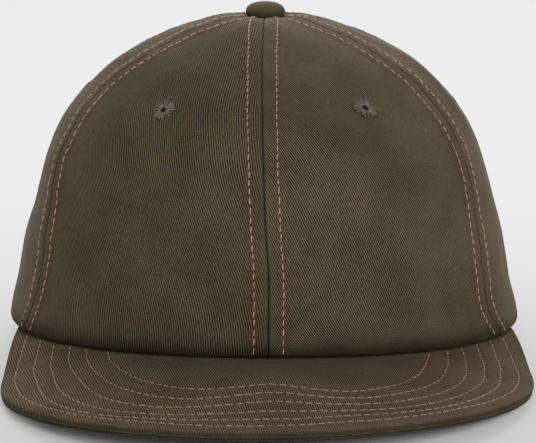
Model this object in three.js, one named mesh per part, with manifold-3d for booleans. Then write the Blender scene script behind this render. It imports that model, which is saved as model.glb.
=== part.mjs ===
// A six-panel work cap with a stitched flat peak, resting on a surface. Millimetres, +Z up.
// The peak points along -Y. Shapes are worked out in the rim's frame, where the rim of the
// crown is the plane z = 0, and are then tilted back until the cap rests on its peak and heel.

import * as THREE from 'three';
import { mergeVertices } from 'three/addons/utils/BufferGeometryUtils.js';
import Module from 'manifold-3d';

// Plan sections of the crown, from the rim up: superellipses with a front and a back depth.
const SECTIONS = table(['height', 'halfWidth', 'front', 'back', 'squareness'], [
  [0, 88.6, 94.0, 94.3, 2.2],
  [6, 87.7, 94.3, 94.9, 2.2],
  [14, 85.8, 94.2, 95.8, 2.2],
  [28, 83.6, 93.4, 96.2, 2.2],
  [42, 79.8, 90.8, 94.4, 2.2],
  [56, 76.0, 85.6, 90.2, 2.2],
  [69, 70.2, 77.2, 82.6, 2.16],
  [80, 61.6, 66.6, 72.0, 2.12],
  [89, 51.8, 54.6, 59.6, 2.08],
  [96, 39.2, 40.6, 44.6, 2.04],
  [101, 25.6, 27.0, 29.4, 2.0],
  [103.9, 13.6, 14.2, 15.4, 2.0],
  [104.8, 0, 0, 0, 2.0],
]);

// Azimuths of the six seams by height, in degrees from the front, positive to +X.
const SEAMS = table(['height', 'left', 'front', 'right', 'backRight', 'back', 'backLeft'], [
  [0, -67.5, 0, 63.5, 124, 180, 236],
  [11, -64, 0, 58.5, 124, 180, 236],
  [24, -62.5, 0, 58, 125, 180, 235],
  [42, -65, -0.5, 60, 125, 180, 235],
  [62, -68, -1, 62, 123, 180, 237],
  [78, -68, -1.5, 62, 121, 180, 239],
  [92, -62.5, -2, 57.5, 120, 180, 240],
  [104.8, -58, -3, 54, 119, 179, 240],
]);

// Soft dents of the crown (depth positive) and soft ridges (depth negative).
const DENTS = table(['azimuth', 'height', 'along', 'across', 'lean', 'depth'], [
  [-44, 15, 20, 5.5, 8, 1.2],
  [-33, 50, 24, 13, 15, 1.3],
  [9.5, 14.5, 10, 4, 50, 0.8],
  [34, 26, 20, 5, -6, -0.9],
  [42, 78, 9, 9, 0, 1.1],
  [17, 88, 12, 7, 60, -0.5],
  [92, 40, 22, 8, 12, 0.9],
  [-95, 52, 20, 8, -10, 0.9],
  [154, 34, 18, 9, -14, 0.9],
  [-156, 58, 22, 10, 12, 0.9],
  [0, 104.8, 8, 900, 0, 2.2], // the button's seat
]);

const RIM_DROOP = 1.2; // how far the rim hangs lower at the sides than in front and behind
const CLOTH = 1.5; // the crown wall, two layers with their seam allowance
const HEM = { depth: 20, fade: 5, thickness: 2.6, roll: 2.1 }; // turned up inside the rim
const SEAM_GAP = 0.35; // between the cut edges of two panels
const GAP = 0.3; // between other neighbours

const PANEL_COLUMNS = 12;
const PANEL_ROWS = 16;
const HEM_ROWS = [0, 0.4, 2.1, 6]; // first grid rows up the wall
const CROWN_OPENING = 2.5; // radius left open at the apex for the button's rivet

const PEAK = {
  rootAzimuth: 75, // the peak is sewn to the rim between these azimuths
  inset: 1.8, // the joint runs this far inside the crown's outer surface
  length: 71.7, // from the rim's front to the peak's front edge, in plan
  halfWidth: 89,
  widestY: -73,
  squareness: 1.96,
  pitch: 0.06, // fall for each millimetre forward
  curl: 0.00102, // added fall for each square millimetre forward
  bend: 336, // radius of the sideways curve
  lean: 0.0162, // rise for each millimetre to +X, a slight twist against the crown
  onset: 42, // the fall, curve and lean grow over this distance forward of the tips
  sweep: 112, // edge angle from the front to the tip, beyond 90 behind the widest line
  tipOut: 0.6,
  tipForward: 3,
  ridge: 3.5, // soft rise on the centre line, highest midway along ridgeReach
  ridgeReach: 0.9,
  ridgeWidth: 19,
  thickness: 2.6,
  flange: 2.8, // the inner edge of the seam allowance, under the crown wall
};
const PEAK_COLUMNS = 40;
const PEAK_ROWS = [0, 0.06, 0.2, 0.36, 0.52, 0.68, 0.84, 0.975, 1];
const PEAK_LIP = 0.45; // share of the thickness left at the rounded edge
const FACING = { thickness: 1.0 }; // the cloth under the peak, cut a little short of its edge
const FACING_ROWS = PEAK_ROWS.slice(0, -1);

const EYELETS = table(['azimuth', 'height'], [
  [-32, 78],
  [30, 79],
  [92, 77],
  [-94, 77],
  [150, 78],
  [-150, 78],
]);
const EYELET = { radius: 4.3, hole: 1.15, barrel: 2.6, proud: 0.55 };
const EYELET_SIDES = 14;

const BUTTON = { radius: 6.95, height: 5.9, shank: 1.7, shankLength: 3 };
const BUTTON_SIDES = 20;

const PRESS = 0.6; // how far the cloth flattens where it rests

const cloth = () => new THREE.MeshStandardMaterial({ color: 0x4c4536, roughness: 0.95, metalness: 0 });
const facingCloth = () => new THREE.MeshStandardMaterial({ color: 0x38332b, roughness: 0.95, metalness: 0 });
const thread = () => new THREE.MeshStandardMaterial({ color: 0x595145, roughness: 0.8, metalness: 0 });

const wasm = await Module();
wasm.setup();

// Rows with named columns, as a list of objects.
function table(columns, rows) {
  return rows.map((row) => Object.fromEntries(columns.map((column, i) => [column, row[i]])));
}

// A smooth curve through the rows of a table that never overshoots them.
function smooth(keys, values) {
  const secants = keys.slice(1).map((key, i) => (values[i + 1] - values[i]) / (key - keys[i]));
  const slopes = keys.map((key, i) => {
    if (i === 0) return secants[0];
    if (i === keys.length - 1) return secants[i - 1];
    const before = secants[i - 1];
    const after = secants[i];
    return before * after > 0 ? (2 * before * after) / (before + after) : 0;
  });
  return (at) => {
    const i = Math.min(Math.max(keys.findIndex((key) => key > at) - 1, 0), keys.length - 2);
    const last = at >= keys[keys.length - 1] ? keys.length - 2 : i;
    const span = keys[last + 1] - keys[last];
    const t = (at - keys[last]) / span;
    const rest = 1 - t;
    return values[last] * rest * rest * (1 + 2 * t) + values[last + 1] * t * t * (3 - 2 * t)
      + span * t * rest * (slopes[last] * rest - slopes[last + 1] * t);
  };
}

// The rise runs from 0 at the rim to 1 at the apex, along the crown's side profile.
const girth = [0];
for (let i = 1; i < SECTIONS.length; i += 1) {
  const wide = SECTIONS[i - 1].halfWidth - SECTIONS[i].halfWidth;
  const high = SECTIONS[i].height - SECTIONS[i - 1].height;
  girth.push(girth[i - 1] + Math.hypot(wide, high));
}
const PROFILE = girth[girth.length - 1];
const RISES = girth.map((length) => length / PROFILE);
const section = (column) => smooth(RISES, SECTIONS.map((row) => row[column]));
const crown = {
  height: section('height'),
  halfWidth: section('halfWidth'),
  front: section('front'),
  back: section('back'),
  squareness: section('squareness'),
};
const seam = (name) => smooth(SEAMS.map((row) => row.height), SEAMS.map((row) => row[name]));
const riseOf = smooth(SECTIONS.map((row) => row.height), RISES);
const TOP_RISE = 1 - CROWN_OPENING / PROFILE;

// How far a point of the crown is pushed in by the dents near it.
function dentDepth(azimuth, rise, radius) {
  let depth = 0;
  for (const dent of DENTS) {
    const turn = ((azimuth - dent.azimuth + 540) % 360) - 180;
    const side = THREE.MathUtils.degToRad(turn) * radius;
    const up = (rise - riseOf(dent.height)) * PROFILE;
    const lean = THREE.MathUtils.degToRad(dent.lean);
    const along = (up * Math.cos(lean) + side * Math.sin(lean)) / dent.along;
    const across = (side * Math.cos(lean) - up * Math.sin(lean)) / dent.across;
    depth += dent.depth * Math.exp(-along * along - across * across);
  }
  return depth;
}

// The crown's outer surface.
function crownSkin(azimuth, rise) {
  const angle = THREE.MathUtils.degToRad(azimuth);
  const s = Math.sin(angle);
  const c = Math.cos(angle);
  const power = 2 / crown.squareness(rise);
  const depth = c > 0 ? crown.front(rise) : crown.back(rise);
  const height = crown.height(rise);
  const point = new THREE.Vector3(
    crown.halfWidth(rise) * Math.sign(s) * Math.abs(s) ** power,
    -depth * Math.sign(c) * Math.abs(c) ** power,
    height - RIM_DROOP * s * s * (1 - THREE.MathUtils.smoothstep(height, 0, 30)),
  );
  const inward = new THREE.Vector3(-point.x, -point.y, -Math.max(0, point.z - 45)).normalize();
  return point.addScaledVector(inward, dentDepth(azimuth, rise, Math.hypot(point.x, point.y)));
}

// The outward normal of the crown. Near the rim it is level, so that the hem ends square.
function crownNormal(azimuth, rise) {
  const low = Math.max(rise - 0.01, 0);
  const high = Math.min(rise + 0.01, 0.999);
  const round = crownSkin(azimuth + 1, rise).sub(crownSkin(azimuth - 1, rise));
  const up = crownSkin(azimuth, high).sub(crownSkin(azimuth, low));
  const normal = round.cross(up).normalize();
  normal.z *= THREE.MathUtils.smoothstep(crown.height(rise), 4, HEM.depth + HEM.fade);
  return normal.normalize();
}

function crownWall(azimuth, rise, inset) {
  return crownSkin(azimuth, rise).addScaledVector(crownNormal(azimuth, rise), -inset);
}

const PEAK_TIP = crownWall(PEAK.rootAzimuth, 0, PEAK.inset);

// A fall forward, a sideways curve and a slight lean give the peak its height.
function peakHeight(x, y) {
  const forward = -y - SECTIONS[0].front;
  const curl = PEAK.curl * Math.max(forward, 0) ** 2;
  const height = PEAK.lean * x - PEAK.pitch * forward - curl - (x * x) / (2 * PEAK.bend);
  return height * THREE.MathUtils.smoothstep(PEAK_TIP.y - y, 0, PEAK.onset);
}

// The peak's outline in plan, for across from -1 at one tip to 1 at the other.
function peakEdge(across) {
  const angle = THREE.MathUtils.degToRad(Math.abs(across) * PEAK.sweep);
  const power = 2 / PEAK.squareness;
  const reach = SECTIONS[0].front + PEAK.length + PEAK.widestY;
  let x = PEAK.halfWidth * Math.sin(angle) ** power;
  let y = PEAK.widestY - reach * Math.abs(Math.cos(angle)) ** power;
  if (angle > Math.PI / 2) {
    const back = (Math.abs(across) * PEAK.sweep - 90) / (PEAK.sweep - 90);
    x = PEAK.halfWidth + (PEAK_TIP.x + PEAK.tipOut - PEAK.halfWidth) * back ** 1.6;
    y = PEAK.widestY + (PEAK_TIP.y - PEAK.tipForward - PEAK.widestY) * back;
  }
  return new THREE.Vector3(Math.sign(across) * x, y, 0);
}

// The peak's upper surface: out is 0 along the rim and 1 along the outer edge.
function peakSkin(across, out) {
  const root = crownWall(across * PEAK.rootAzimuth, 0, PEAK.inset);
  const point = root.clone().lerp(peakEdge(across), out);
  const swell = Math.sin(Math.PI * Math.min(out / PEAK.ridgeReach, 1)) ** 2;
  const ridge = PEAK.ridge * swell * Math.exp(-((point.x / PEAK.ridgeWidth) ** 2));
  const level = (1 - out) * (root.z - peakHeight(root.x, root.y));
  point.z = peakHeight(point.x, point.y) + level + ridge - GAP;
  return point;
}

// A point of the peak's flat seam allowance, under the crown wall.
function peakFlange(across) {
  const point = crownWall(across * PEAK.rootAzimuth, 0, PEAK.flange);
  point.z -= GAP;
  return point;
}

function peakLayer(across, row, drop) {
  const point = row === 0 ? peakFlange(across) : peakSkin(across, PEAK_ROWS[row - 1]);
  point.z -= drop;
  return point;
}

// The cap leans to level the peak's two sides, and tips back about its heel until they are as
// low as the heel.
const HEEL = crownSkin(180, 0);
const PEAK_DEPTH = PEAK.thickness + GAP + FACING.thickness;
const restLean = Math.atan(PEAK.lean);
let restTilt = 0;
for (let across = -1; across <= 1; across += 1 / PEAK_COLUMNS) {
  for (const out of FACING_ROWS) {
    const low = peakSkin(across, out).sub(HEEL).applyEuler(new THREE.Euler(0, restLean, 0));
    restTilt = Math.max(restTilt, Math.atan2(PEAK_DEPTH - low.z, -low.y));
  }
}
const REST_TURN = new THREE.Quaternion().setFromEuler(new THREE.Euler(-restTilt, restLean, 0));

// Rim frame to resting frame, with the cloth flattened where it meets the surface.
function rest(point) {
  const turned = point.clone().sub(HEEL).applyQuaternion(REST_TURN).add(HEEL);
  turned.z = Math.max(turned.z - PRESS, 0);
  return turned;
}

// A block of cells bent into shape: the function takes three shares from 0 to 1.
function bentBlock(columns, rows, shape) {
  const block = new THREE.BoxGeometry(1, 1, 1, columns, rows, 1);
  block.deleteAttribute('normal');
  block.deleteAttribute('uv');
  const geometry = mergeVertices(block);
  const position = geometry.attributes.position;
  for (let i = 0; i < position.count; i += 1) {
    const point = rest(shape(position.getX(i) + 0.5, position.getY(i) + 0.5, position.getZ(i) + 0.5));
    position.setXYZ(i, point.x, point.y, point.z);
  }
  geometry.computeVertexNormals();
  return geometry;
}

// One crown panel between two seams: the first rows follow the hem's roll, the others are even.
function panelGeometry(from, to) {
  return bentBlock(PANEL_COLUMNS, PANEL_ROWS, (u, v, w) => {
    const row = Math.round(v * PANEL_ROWS);
    const hemTop = HEM_ROWS.length - 1;
    const start = HEM_ROWS[hemTop] / PROFILE;
    const even = start + ((TOP_RISE - start) * (row - hemTop)) / (PANEL_ROWS - hemTop);
    const rise = row < hemTop ? HEM_ROWS[row] / PROFILE : even;
    const height = crown.height(rise);
    const edge = crownSkin(from(height), rise);
    const trim = THREE.MathUtils.radToDeg(SEAM_GAP / 2 / Math.hypot(edge.x, edge.y));
    const azimuth = THREE.MathUtils.lerp(from(height) + trim, to(height) - trim, u);
    const fold = 1 - THREE.MathUtils.smoothstep(height, HEM.depth, HEM.depth + HEM.fade);
    const thickness = THREE.MathUtils.lerp(CLOTH, HEM.thickness, fold);
    const tuck = HEM.roll - Math.sqrt(HEM.roll ** 2 - Math.max(HEM.roll - height, 0) ** 2);
    return crownWall(azimuth, rise, THREE.MathUtils.lerp(thickness, tuck, w));
  });
}

function toSolid(geometry) {
  const bare = geometry.clone();
  bare.deleteAttribute('normal');
  if (bare.attributes.uv) bare.deleteAttribute('uv');
  const merged = mergeVertices(bare);
  return new wasm.Manifold(new wasm.Mesh({
    numProp: 3,
    vertProperties: new Float32Array(merged.attributes.position.array),
    triVerts: new Uint32Array(merged.index.array),
  }));
}

function fromSolid(solid) {
  const mesh = solid.getMesh();
  const geometry = new THREE.BufferGeometry();
  geometry.setAttribute('position', new THREE.BufferAttribute(mesh.vertProperties, 3));
  geometry.setIndex(new THREE.BufferAttribute(mesh.triVerts, 1));
  geometry.computeVertexNormals();
  return geometry;
}

// Place and outward direction of an eyelet, in the resting frame.
function eyeletSeat(eyelet) {
  const rise = riseOf(eyelet.height);
  const outside = rest(crownWall(eyelet.azimuth, rise, 0));
  const inside = rest(crownWall(eyelet.azimuth, rise, CLOTH));
  const turn = new THREE.Quaternion();
  turn.setFromUnitVectors(new THREE.Vector3(0, 1, 0), outside.clone().sub(inside).normalize());
  return { position: outside, turn };
}

function withEyeletHole(geometry, eyelet) {
  const seat = eyeletSeat(eyelet);
  const radius = EYELET.barrel + GAP;
  const drill = new THREE.CylinderGeometry(radius, radius, 6 * CLOTH, EYELET_SIDES);
  drill.applyMatrix4(new THREE.Matrix4().compose(seat.position, seat.turn, new THREE.Vector3(1, 1, 1)));
  return fromSolid(toSolid(geometry).subtract(toSolid(drill)));
}

// A worked eyelet: a barrel through the cloth and a rounded ring of thread outside.
function eyeletMesh(eyelet) {
  const { radius, hole, barrel, proud } = EYELET;
  const profile = [
    [hole, -CLOTH],
    [barrel, -CLOTH],
    [barrel, GAP],
    [radius, GAP],
    [radius - 0.3, GAP + proud * 0.75],
    [(radius + hole) / 2, GAP + proud],
    [hole + 0.4, GAP + proud * 0.6],
    [hole, GAP * 0.5],
    [hole, -CLOTH],
  ];
  const points = profile.map(([r, h]) => new THREE.Vector2(r, h));
  const mesh = new THREE.Mesh(new THREE.LatheGeometry(points, EYELET_SIDES), thread());
  const seat = eyeletSeat(eyelet);
  mesh.position.copy(seat.position);
  mesh.quaternion.copy(seat.turn);
  return mesh;
}

// The covered button: a flattened ball whose rivet goes through the crown's apex.
function buttonMesh() {
  const { radius, height, shank, shankLength } = BUTTON;
  const points = [
    new THREE.Vector2(0, -shankLength),
    new THREE.Vector2(shank, -shankLength),
    new THREE.Vector2(shank, GAP),
  ];
  for (let angle = -75; angle <= 75; angle += 15) {
    const turn = THREE.MathUtils.degToRad(angle);
    const up = GAP + (height / 2) * (1 + Math.sin(turn));
    points.push(new THREE.Vector2(radius * Math.cos(turn) ** 0.8, up));
  }
  points.push(new THREE.Vector2(0, GAP + height));
  const mesh = new THREE.Mesh(new THREE.LatheGeometry(points, BUTTON_SIDES), cloth());
  mesh.position.copy(rest(crownSkin(0, 1)));
  mesh.rotation.x = Math.PI / 2;
  mesh.quaternion.premultiply(REST_TURN);
  return mesh;
}

const cap = new THREE.Group();

function add(name, mesh) {
  mesh.name = name;
  cap.add(mesh);
}

// Panels in order round the crown, each with the eyelet that it carries.
const PANELS = [
  ['panel_front_left', 'left', 'front', 0],
  ['panel_front_right', 'front', 'right', 1],
  ['panel_side_right', 'right', 'backRight', 2],
  ['panel_back_right', 'backRight', 'back', 4],
  ['panel_back_left', 'back', 'backLeft', 5],
  ['panel_side_left', 'backLeft', 'left', 3],
];
for (const [name, from, to, eyelet] of PANELS) {
  const wrap = name === 'panel_side_left' ? 360 : 0;
  const until = seam(to);
  const geometry = panelGeometry(seam(from), (height) => until(height) + wrap);
  add(name, new THREE.Mesh(withEyeletHole(geometry, EYELETS[eyelet]), cloth()));
  add(name.replace('panel', 'eyelet'), eyeletMesh(EYELETS[eyelet]));
}

add('button', buttonMesh());

add('peak', new THREE.Mesh(bentBlock(PEAK_COLUMNS, PEAK_ROWS.length, (u, v, w) => {
  const row = Math.round(v * PEAK_ROWS.length);
  const lip = row === PEAK_ROWS.length ? (1 - PEAK_LIP) / 2 : 0;
  const drop = PEAK.thickness * THREE.MathUtils.lerp(lip, 1 - lip, w);
  return peakLayer(2 * u - 1, row, drop);
}), cloth()));

add('peak_facing', new THREE.Mesh(bentBlock(PEAK_COLUMNS, FACING_ROWS.length, (u, v, w) => {
  const drop = PEAK.thickness + GAP + FACING.thickness * w;
  return peakLayer(2 * u - 1, Math.round(v * FACING_ROWS.length), drop);
}), facingCloth()));

// The origin is under the middle of the resting cap.
const extent = new THREE.Box3().setFromObject(cap);
const middle = extent.getCenter(new THREE.Vector3());
cap.position.set(-middle.x, -middle.y, -extent.min.z);

export default cap;
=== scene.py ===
# A six-panel work cap with a row-stitched peak, resting on a pale surface.
# Shapes are worked out in millimetres in the rim's frame, where the rim of the crown is the
# plane z = 0 and the peak points along -Y, and are then tilted back onto the surface.

import math
import random

import bmesh
import bpy
import numpy as np
from mathutils import Matrix, Vector, kdtree, noise


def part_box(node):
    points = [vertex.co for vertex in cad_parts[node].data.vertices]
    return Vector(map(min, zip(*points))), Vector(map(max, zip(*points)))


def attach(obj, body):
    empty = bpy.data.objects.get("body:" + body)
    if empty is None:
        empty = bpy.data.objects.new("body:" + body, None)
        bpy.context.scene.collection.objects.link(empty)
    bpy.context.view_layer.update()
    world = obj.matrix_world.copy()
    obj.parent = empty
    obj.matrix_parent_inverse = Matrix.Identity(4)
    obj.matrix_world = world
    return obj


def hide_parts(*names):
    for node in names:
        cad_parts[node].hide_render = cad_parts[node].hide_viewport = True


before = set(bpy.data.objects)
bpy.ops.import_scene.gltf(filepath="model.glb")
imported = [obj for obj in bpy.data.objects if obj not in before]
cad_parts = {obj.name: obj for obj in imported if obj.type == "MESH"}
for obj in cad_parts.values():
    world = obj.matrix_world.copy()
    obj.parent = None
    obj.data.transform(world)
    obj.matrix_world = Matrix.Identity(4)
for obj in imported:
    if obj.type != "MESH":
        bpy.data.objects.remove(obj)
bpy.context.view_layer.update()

MM = 0.001
PHOTO_WIDTH = 536
PHOTO_HEIGHT = 443


def table(columns, rows):
    """The named columns of a table, each as an array."""
    values = np.array(rows, float)
    return {name: values[:, i] for i, name in enumerate(columns.split())}


# Plan sections of the crown, from the rim up: superellipses with a front and a back depth.
SECTIONS = table("height half_width front back squareness", [
    (0, 88.6, 94.0, 94.3, 2.2),
    (6, 87.7, 94.3, 94.9, 2.2),
    (14, 85.8, 94.2, 95.8, 2.2),
    (28, 83.6, 93.4, 96.2, 2.2),
    (42, 79.8, 90.8, 94.4, 2.2),
    (56, 76.0, 85.6, 90.2, 2.2),
    (69, 70.2, 77.2, 82.6, 2.16),
    (80, 61.6, 66.6, 72.0, 2.12),
    (89, 51.8, 54.6, 59.6, 2.08),
    (96, 39.2, 40.6, 44.6, 2.04),
    (101, 25.6, 27.0, 29.4, 2.0),
    (103.9, 13.6, 14.2, 15.4, 2.0),
    (104.8, 0, 0, 0, 2.0),
])

# Azimuths of the six seams by height, in degrees from the front, positive to +X.
SEAMS = table("height left front right back_right back back_left", [
    (0, -67.5, 0, 63.5, 124, 180, 236),
    (11, -64, 0, 58.5, 124, 180, 236),
    (24, -62.5, 0, 58, 125, 180, 235),
    (42, -65, -0.5, 60, 125, 180, 235),
    (62, -68, -1, 62, 123, 180, 237),
    (78, -68, -1.5, 62, 121, 180, 239),
    (92, -62.5, -2, 57.5, 120, 180, 240),
    (104.8, -58, -3, 54, 119, 179, 240),
])

# Soft dents of the crown (depth positive) and soft ridges (depth negative).
DENTS = table("azimuth height along across lean depth", [
    (-44, 15, 20, 5.5, 8, 1.2),
    (-33, 50, 24, 13, 15, 1.3),
    (9.5, 14.5, 10, 3.2, 50, 1.3),
    (34, 26, 20, 5, -6, -0.9),
    (42, 78, 9, 9, 0, 1.1),
    (17, 88, 12, 4.5, 60, -0.8),
    (92, 40, 22, 8, 12, 0.9),
    (-95, 52, 20, 8, -10, 0.9),
    (154, 34, 18, 9, -14, 0.9),
    (-156, 58, 22, 10, 12, 0.9),
    (0, 104.8, 8, 900, 0, 2.2),
    (77, 84, 20, 3, 0, -1.3),
    (89, 87, 18, 5, 0, 0.9),
    (-77, 90, 9, 4.5, 0, 1.5),
])

RIM_DROOP = 1.2  # how much lower the rim hangs at the sides
CLOTH = 0.9
HEM_DEPTH = 20
HEM_THICKNESS = 2.5
HEM_ROLL = 2.1  # radius of the rim's outer edge
CROWN_OPENING = 2.5  # radius left open at the apex for the button's rivet
SEAM_CLEARANCE = 0.04  # from a seam to the edge of its panel
SEAM_TUCK = 0.3  # how far a panel's edge turns in behind its seam
SEAM_TURN = 2.2  # and how much further on the outside

PEAK_ROOT_AZIMUTH = 75  # the peak is sewn to the rim between these azimuths
PEAK_LENGTH = 71.7  # from the rim's front to the peak's front edge, in plan
PEAK_HALF_WIDTH = 89
PEAK_WIDEST_Y = -73
PEAK_SQUARENESS = 1.96
PEAK_PITCH = 0.06  # fall for each millimetre forward
PEAK_CURL = 0.00102  # added fall for each square millimetre forward
PEAK_BEND = 336  # radius of the sideways curve
PEAK_LEAN = 0.0162  # rise for each millimetre to +X
PEAK_ONSET = 42  # all four grow over this distance forward of the tips
PEAK_SWEEP = 112  # edge angle at the tips, beyond 90 behind the widest line
PEAK_TIP_OUT = 0.6
PEAK_TIP_FORWARD = 3
PEAK_RIDGE = 3.5  # soft rise on the centre line
PEAK_RIDGE_REACH = 0.9
PEAK_RIDGE_WIDTH = 19
PEAK_THICKNESS = 2.6
PEAK_INSET = 1.8  # the joint runs this far inside the crown's outer surface
PEAK_FLANGE = 3.7  # and the inner edge of the seam allowance this far
PEAK_LIFT = 0.36  # added rise at the joint
PEAK_LIFT_FADE = (2.5, 9)
FACING_THICKNESS = 1.0
FACING_REACH = 0.975  # the under cloth's share of the peak's reach
GAP = 0.3
PRESS = 0.6  # how far the cloth flattens where it rests

STITCH_GAP = 4.8  # from a seam to the stitching beside it
CROWN_STITCH = 3.1  # from one stitch to the next
PEAK_STITCH = 3.3
STITCH_SHARE = 0.95  # of that distance that a stitch fills
STITCH_START = (0.3, 0.6)  # where the first one begins, as shares of that distance
STITCH_SLANT = 0.1  # how far its ends lie off the line
STITCH_HEIGHT = 0.85  # for a width of 1
STITCH_SEAT = 0.7  # height of its middle over the cloth, in radii
THREAD = 0.185  # radius
PEAK_THREAD_SHARE = 0.74

# How much stitches differ, the lengths and radii as shares and the rest in millimetres.
LENGTH_VARIES = 0.1
SLANT_VARIES = 0.07
SHIFT_VARIES = 0.1
RADIUS_VARIES = 0.15

FAR = 80  # a distance at which stitching and edges no longer show

# How far in from the peak's edge its rows of stitching run, by the angle round the edge.
PEAK_STITCHING = table("angle first second third fourth fifth sixth", [
    (-102, 5.0, 11.2, 16.9, 22.9, 28.7, 35.6),
    (-80, 4.7, 11.1, 16.7, 22.6, 28.5, 35.5),
    (-70, 4.0, 9.3, 14.6, 22.1, 28.3, 35.5),
    (-60, 3.5, 7.0, 12.3, 19.8, 27.0, 34.8),
    (-52, 3.7, 6.1, 10.7, 17.8, 25.7, 34.1),
    (-43, 4.5, 6.4, 10.4, 16.9, 25.1, 33.6),
    (-34, 5.0, 7.5, 11.0, 17.1, 24.7, 33.2),
    (-12, 5.2, 9.8, 14.9, 20.9, 26.8, 33.2),
    (0, 5.6, 10.9, 16.5, 22.6, 28.6, 34.6),
    (12, 5.8, 10.8, 15.6, 20.9, 26.6, 32.2),
    (34, 5.7, 9.2, 12.8, 17.7, 23.1, 29.6),
    (44, 5.0, 7.9, 12.2, 17.2, 23.3, 29.7),
    (54, 4.4, 8.0, 12.6, 17.5, 23.8, 31.0),
    (62, 4.2, 8.5, 13.3, 18.4, 25.0, 32.3),
    (70, 4.3, 8.9, 14.1, 19.9, 26.6, 34.0),
    (80, 4.8, 10.9, 16.3, 22.4, 28.3, 34.9),
    (102, 5.8, 11.7, 17.9, 24.2, 29.6, 35.4),
])

EYELETS = table("azimuth height", [
    (-32, 78),
    (30, 79),
    (92, 77),
    (150, 78),
    (-150, 78),
    (-94, 77),
])
EYELET_RADIUS = 4.3
EYELET_HOLE = 0.75  # radius
EYELET_CLOTH_HOLE = 2.3  # radius in the cloth, under the ring
EYELET_THREADS = 31
EYELET_THREAD = 0.2  # radius
EYELET_SEED = 40

# Section of an eyelet's ring, as radius and height over the cloth.
EYELET_RING = [(0.7, -1.3), (0.65, -0.4), (1.1, -0.1), (2.2, 0.05), (2.9, -0.05)]
EYELET_RING += [(3.2, -0.35), (3.2, -0.5), (2.7, -0.5), (2.2, -1.3)]
EYELET_SIDES = 28
EYELET_RING_RUN = 0.85  # painted shade: the ring is as dark as a stitch is this near its end, for the shade between the threads

# The turn between a thread's ends, their places as shares of the two radii, their heights, and
# its thickness as a share.
EYELET_SKEW = (0.02, 0.2)
EYELET_INNER = (0.7, 1.1)
EYELET_OUTER = (0.9, 1.22)
EYELET_HEIGHTS = (0.05, -0.08)
EYELET_THICKNESS = (0.8, 1.15)
EYELET_SPACING_VARIES = 0.6

BUTTON_RADIUS = 6.95
BUTTON_HEIGHT = 5.9
BUTTON_SHANK_LENGTH = 2.4
BUTTON_SHANK_RADIUS = 1.7
BUTTON_SINK = 0.7  # how far its edge reaches into the crown's seat
BUTTON_PUFF = 0.25  # how far its cloth stands over the solid
BUTTON_LOWEST_ANGLE = -75
BUTTON_RINGS = 14
BUTTON_SIDES = 72
BUTTON_FLATNESS = 0.8  # below 1 its side is rounder than a ball's
BUTTON_GATHER = 0.02  # depth of the gathers as a share of the radius
BUTTON_GATHERS = ((13, 1.0, 0), (22, 0.6, 1))  # waves round it, strength, turn
BUTTON_GATHERS_START = (0.4, 1.2)  # heights
BUTTON_GATHERS_FADE = (1.6, 3.4)
BUTTON_SPREAD = 0.5  # added width of the weave from the top to the edge
BUTTON_SHARE = 0.12  # of the height over its edge that counts as distance from an edge, so that its cloth darkens towards its lower edge as painted shade under the button


# Curves and surfaces


def smooth(keys, values):
    """A smooth curve through the rows of a table that never overshoots them."""
    secants = np.diff(values) / np.diff(keys)
    slopes = np.concatenate([secants[:1], np.zeros(len(keys) - 2), secants[-1:]])
    before, after = secants[:-1], secants[1:]
    same = before * after > 0
    total = np.where(same, before + after, 1)
    slopes[1:-1] = np.where(same, 2 * before * after / total, 0)

    def curve(at):
        at = np.asarray(at, float)
        i = np.clip(np.searchsorted(keys, at, side="right") - 1, 0, len(keys) - 2)
        span = keys[i + 1] - keys[i]
        t = (at - keys[i]) / span
        back = 1 - t
        ends = values[i] * back**2 * (1 + 2 * t) + values[i + 1] * t**2 * (3 - 2 * t)
        return ends + span * t * back * (slopes[i] * back - slopes[i + 1] * t)

    return curve


def ease(value, low, high):
    """0 below low and 1 above high, with a soft change between them."""
    t = np.clip((np.asarray(value, float) - low) / (high - low), 0, 1)
    return t * t * (3 - 2 * t)


def unit(vectors):
    return vectors / np.linalg.norm(vectors, axis=-1, keepdims=True)


def apart(points, others):
    return np.linalg.norm(points - others, axis=-1)


def turned(x, y, angle):
    """Two values along axes turned by an angle, from the first towards the second."""
    c, s = math.cos(angle), math.sin(angle)
    return x * c + y * s, y * c - x * s


GIRTH = np.concatenate(
    [[0], np.cumsum(np.hypot(np.diff(SECTIONS["half_width"]), np.diff(SECTIONS["height"])))]
)
PROFILE = GIRTH[-1]
RISES = GIRTH / PROFILE
crown = {name: smooth(RISES, SECTIONS[name]) for name in SECTIONS}
rise_of = smooth(SECTIONS["height"], RISES)
seams = {name: smooth(SEAMS["height"], SEAMS[name]) for name in SEAMS}


def dent_depth(azimuth, rise, radius):
    """How far a point of the crown is pushed in by the dents near it."""
    total = 0
    for middle, height, length, width, lean, depth in zip(*DENTS.values()):
        side = np.radians((azimuth - middle + 540) % 360 - 180) * radius
        up = (rise - rise_of(height)) * PROFILE
        along, across = turned(up, side, math.radians(lean))
        total = total + depth * np.exp(-((along / length) ** 2) - (across / width) ** 2)
    return total


def crown_skin(azimuth, rise):
    """The crown's outer surface, without its seams."""
    azimuth, rise = np.broadcast_arrays(np.asarray(azimuth, float), np.asarray(rise, float))
    s, c = np.sin(np.radians(azimuth)), np.cos(np.radians(azimuth))
    power = 2 / crown["squareness"](rise)
    depth = np.where(c > 0, crown["front"](rise), crown["back"](rise))
    x = crown["half_width"](rise) * np.sign(s) * np.abs(s) ** power
    y = -depth * np.sign(c) * np.abs(c) ** power
    height = crown["height"](rise)
    z = height - RIM_DROOP * s**2 * (1 - ease(height, 0, 30))
    inward = unit(np.stack([-x, -y, -np.maximum(0, z - 45) - 1e-9], -1))
    push = dent_depth(azimuth, rise, np.hypot(x, y))
    return np.stack([x, y, z], -1) + inward * push[..., None]


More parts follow.
